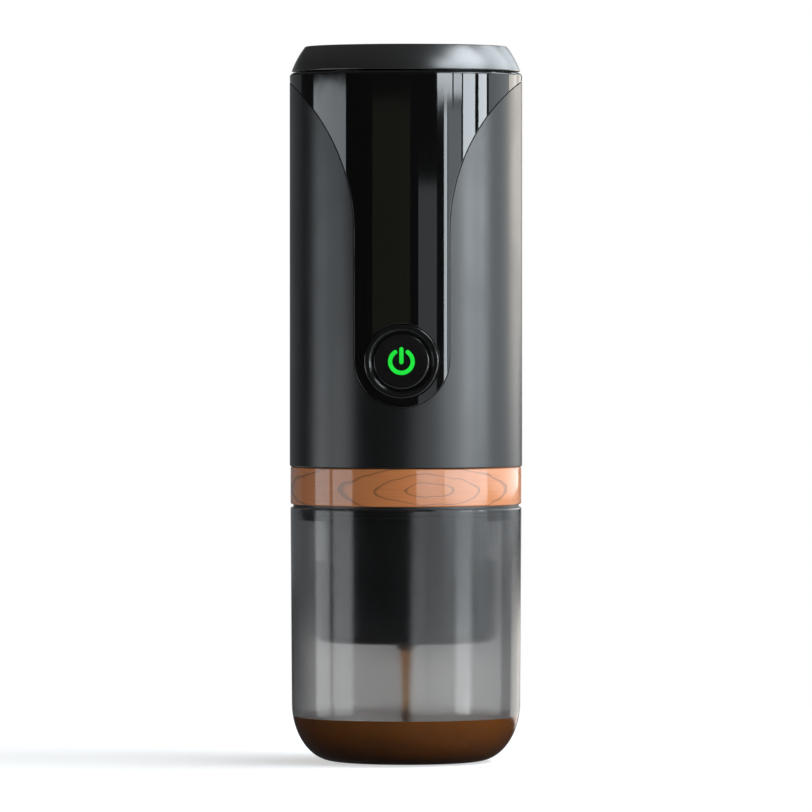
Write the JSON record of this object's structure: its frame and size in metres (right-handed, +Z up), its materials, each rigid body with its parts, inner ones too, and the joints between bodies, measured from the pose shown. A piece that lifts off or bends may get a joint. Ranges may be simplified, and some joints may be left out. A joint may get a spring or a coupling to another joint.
{
  "type": "portable coffee machine",
  "caption": "Tall round portable coffee machine: screw lid over a heated water tank, motor and gear pump, front power button, wood band, and a smoky clear cup below the brew basket.",
  "frame": {"origin": "centre of the cup's foot, on the surface that it stands on", "axes": "+Z up along the body axis, -Y towards the power button, +Y towards the charging socket"},
  "size_m": [0.072, 0.072, 0.2211],
  "materials": {
    "smoky_clear": "clear, smoke grey",
    "casing": "satin black",
    "panel": "polished black",
    "band": "oiled walnut, fine grain",
    "lamp": "lit green light guide",
    "dark_plastic": "moulded black",
    "steel": "brushed",
    "silicone": "soft matte",
    "board": "solder mask",
    "cell": "shrink sleeve",
    "frame": "moulded grey",
    "aluminium": "cast and milled",
    "copper": "plain"
  },
  "bodies": {
    "cup": {"cup": "smoky_clear"},
    "machine": {"body_shell": "casing", "front_fascia": "panel", "button_bezel": "dark_plastic", "wood_band": "band", "base_collar": "dark_plastic", "cup_seal_ring": "silicone", "tank_collar": "dark_plastic", "clamp_screws": "steel", "water_tank": "steel", "heater_plate": "aluminium", "thermostat": "steel", "upper_deck": "frame", "deck_screws": "steel", "frame_posts": "frame", "battery_tray": "frame", "battery_cell_1": "cell", "battery_cell_2": "cell", "battery_cell_3": "cell", "battery_straps": "steel", "motor_can": "steel", "motor_end_cap": "dark_plastic", "motor_bushes": "copper", "motor_magnets": "frame", "pump_housing": "frame", "pump_cover": "frame", "pump_screws": "steel", "suction_hose": "silicone", "board_carrier": "frame", "control_board": "board", "board_screws": "steel", "tact_switch": "frame", "status_leds": "lamp", "power_board": "board", "power_leads": "copper", "port_board": "board", "usb_port": "steel", "base_screws": "steel", "valve_cage": "dark_plastic", "valve_spring": "steel", "shower_screen": "steel", "shower_screw": "steel", "group_gasket": "silicone"},
    "lid_seal": {"seal_disc": "dark_plastic", "lid_gasket": "silicone", "stud_clip": "steel"},
    "lid": {"lid_cap": "panel", "lid_liner": "dark_plastic"},
    "button": {"power_button": "dark_plastic", "power_symbol": "lamp"},
    "flap": {"port_flap": "silicone"},
    "basket": {"filter_basket": "steel"},
    "holder": {"brew_holder": "dark_plastic", "spout": "silicone"},
    "rotor": {"motor_shaft": "steel", "rotor_core": "copper", "drive_gear": "dark_plastic"},
    "idler": {"idler_gear": "dark_plastic"},
    "valve": {"valve_poppet": "silicone"}
  },
  "joints": [
    {"name": "machine_lift", "type": "slide", "parent": "cup", "child": "machine", "axis": [0, 0, 1], "range_m": [0, 0.06]},
    {"name": "lid_lift", "type": "slide", "parent": "machine", "child": "lid_seal", "axis": [0, 0, 1], "range_m": [0, 0.04]},
    {"name": "lid_turn", "type": "hinge", "parent": "lid_seal", "child": "lid", "pos_m": [0, 0, 0.2131], "axis": [0, 0, 1], "range_deg": [0, 601]},
    {"name": "button_press", "type": "slide", "parent": "machine", "child": "button", "axis": [0, 1, 0], "range_m": [0, 0.0012], "stiffness_N_per_m": 800, "springref_m": -0.0005},
    {"name": "flap_open", "type": "hinge", "parent": "machine", "child": "flap", "pos_m": [0, 0.03515, 0.15754], "axis": [-1, 0, 0], "range_deg": [0, 95]},
    {"name": "holder_drop", "type": "slide", "parent": "machine", "child": "basket", "axis": [0, 0, -1], "range_m": [0, 0.012]},
    {"name": "holder_turn", "type": "hinge", "parent": "basket", "child": "holder", "pos_m": [0, 0, 0.054], "axis": [0, 0, -1], "range_deg": [0, 181]},
    {"name": "rotor_spin", "type": "hinge", "parent": "machine", "child": "rotor", "pos_m": [0, 0, 0.0746], "axis": [0, 0, 1], "continuous": true},
    {"name": "idler_spin", "type": "hinge", "parent": "machine", "child": "idler", "pos_m": [0.00953, 0.0055, 0.0746], "axis": [0, 0, 1], "continuous": true},
    {"name": "valve_open", "type": "slide", "parent": "machine", "child": "valve", "axis": [0, 0, -1], "range_m": [0, 0.0015], "stiffness_N_per_m": 300, "springref_m": -0.0005, "deforming": ["valve_spring"]}
  ],
  "couplings": [
    {"joint": "lid_turn", "follows": "lid_lift", "rad_per_m": 261.8},
    {"joint": "holder_turn", "follows": "holder_drop", "rad_per_m": 261.8},
    {"joint": "idler_spin", "follows": "rotor_spin", "ratio": -1}
  ]
}
